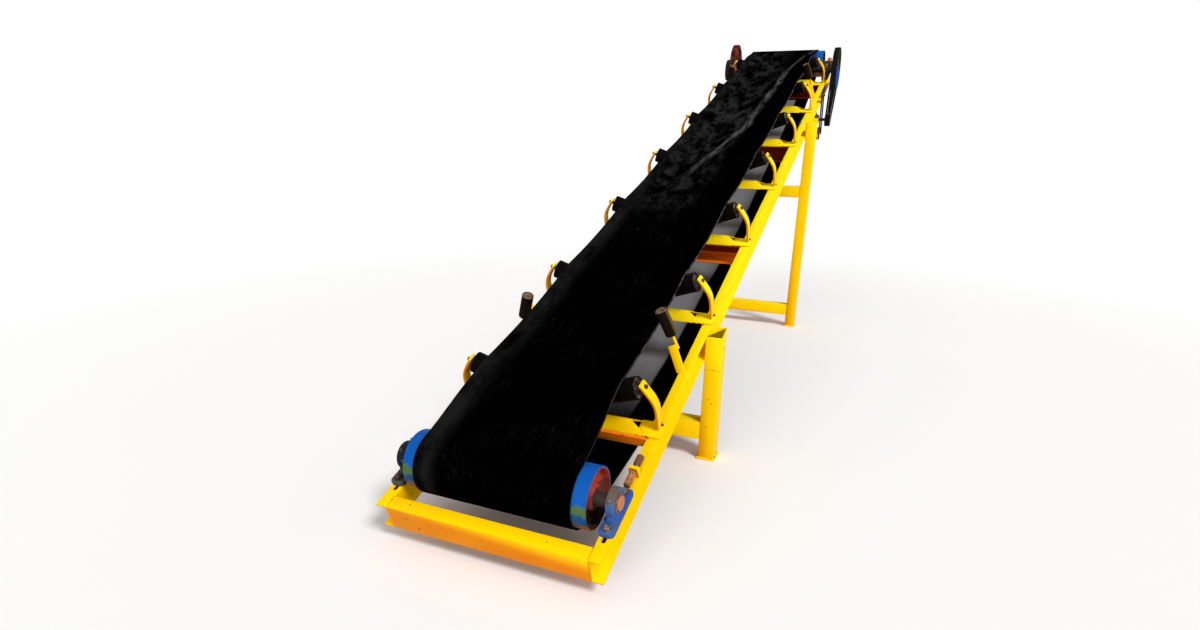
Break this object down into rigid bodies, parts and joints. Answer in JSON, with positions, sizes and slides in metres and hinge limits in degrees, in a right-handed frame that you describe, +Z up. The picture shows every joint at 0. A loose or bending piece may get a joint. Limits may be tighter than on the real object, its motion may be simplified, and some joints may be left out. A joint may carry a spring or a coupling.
{
  "type": "troughed belt conveyor on stands",
  "caption": "Inclined belt conveyor on fixed leg stands: troughed rubber belt on idler rollers between channel stringers, with end pulleys, guide rollers and a geared V-belt drive.",
  "frame": {"origin": "on the floor, under the middle of the conveyor's length and width", "axes": "+X to the right seen from the tail (low) end, +Y towards the head (high) end, +Z up"},
  "size_m": [1.19, 6.5736, 2.7615],
  "materials": {
    "yellow_paint": "gloss, chipped and lightly stained",
    "blue_paint": "gloss, worn",
    "roller_steel": "worn dark paint with bare ends",
    "shaft_steel": "dull, lightly rusted",
    "rusty_steel": "rusted",
    "belt_rubber": "scuffed",
    "drive_rubber": "matt",
    "gear_iron": "red-brown primer",
    "greasy_iron": "greased",
    "black_paint": "matt",
    "sheave_iron": "dark, part painted",
    "motor_paint": "satin"
  },
  "bodies": {
    "frame": {"stringer_left": "yellow_paint", "stringer_right": "yellow_paint", "tail_beam": "yellow_paint", "cross_members": "yellow_paint", "near_stand_leg_left": "yellow_paint", "near_stand_leg_right": "yellow_paint", "far_stand_leg_left": "yellow_paint", "far_stand_leg_right": "yellow_paint", "near_stand_brace": "yellow_paint", "far_stand_braces": "yellow_paint", "foot_plates": "yellow_paint", "idler_bases": "yellow_paint", "idler_arms": "yellow_paint", "return_roller_plates": "yellow_paint", "take_up_lugs": "yellow_paint", "motor_bearers": "yellow_paint", "motor_platform": "yellow_paint", "motor_hangers": "yellow_paint", "guide_brackets": "yellow_paint", "tail_bearings": "blue_paint", "head_bearings": "blue_paint", "countershaft_bearings": "blue_paint", "idler_rollers_1": "roller_steel", "idler_rollers_2": "roller_steel", "idler_rollers_3": "roller_steel", "idler_rollers_4": "roller_steel", "idler_rollers_5": "roller_steel", "idler_rollers_6": "roller_steel", "idler_rollers_7": "roller_steel", "return_rollers": "roller_steel", "take_up_screws": "shaft_steel", "belt": "belt_rubber", "v_belts": "drive_rubber", "pinion_guard": "black_paint", "motor": "motor_paint"},
    "head_drum": {"head_pulley": "blue_paint", "head_shaft": "shaft_steel", "head_gear": "gear_iron"},
    "countershaft": {"countershaft": "shaft_steel", "pinion": "greasy_iron", "v_sheave": "sheave_iron"},
    "motor_rotor": {"motor_sheave": "sheave_iron", "motor_shaft": "shaft_steel"},
    "tail_drum": {"tail_pulley": "blue_paint", "tail_shaft": "shaft_steel"},
    "front_right_guide_roller": {"guide_roller_front_right": "rusty_steel"},
    "front_left_guide_roller": {"guide_roller_front_left": "rusty_steel"},
    "back_right_guide_roller": {"guide_roller_back_right": "rusty_steel"},
    "back_left_guide_roller": {"guide_roller_back_left": "rusty_steel"}
  },
  "joints": [
    {"name": "head_drum_spin", "type": "hinge", "parent": "frame", "child": "head_drum", "pos_m": [0, 2.99459, 2.54673], "axis": [-1, 0, 0], "continuous": true},
    {"name": "countershaft_spin", "type": "hinge", "parent": "frame", "child": "countershaft", "pos_m": [0, 2.75027, 2.45781], "axis": [-1, 0, 0], "continuous": true},
    {"name": "motor_spin", "type": "hinge", "parent": "frame", "child": "motor_rotor", "pos_m": [0.5, 2.51718, 1.95794], "axis": [-1, 0, 0], "continuous": true},
    {"name": "tail_drum_spin", "type": "hinge", "parent": "frame", "child": "tail_drum", "pos_m": [0, -3.09274, 0.33113], "axis": [-1, 0, 0], "continuous": true},
    {"name": "front_right_guide_spin", "type": "hinge", "parent": "frame", "child": "front_right_guide_roller", "pos_m": [0.401, -2.20417, 0.76096], "axis": [-0.342, -0.3214, 0.883], "continuous": true},
    {"name": "front_left_guide_spin", "type": "hinge", "parent": "frame", "child": "front_left_guide_roller", "pos_m": [-0.401, -2.20417, 0.76096], "axis": [0.342, -0.3214, 0.883], "continuous": true},
    {"name": "back_right_guide_spin", "type": "hinge", "parent": "frame", "child": "back_right_guide_roller", "pos_m": [0.401, 2.04325, 2.30689], "axis": [-0.342, -0.3214, 0.883], "continuous": true},
    {"name": "back_left_guide_spin", "type": "hinge", "parent": "frame", "child": "back_left_guide_roller", "pos_m": [-0.401, 2.04325, 2.30689], "axis": [0.342, -0.3214, 0.883], "continuous": true}
  ],
  "couplings": [
    {"joint": "countershaft_spin", "follows": "head_drum_spin", "ratio": -4.2},
    {"joint": "motor_spin", "follows": "head_drum_spin", "ratio": -14.7},
    {"joint": "tail_drum_spin", "follows": "head_drum_spin", "ratio": 1.0385}
  ]
}
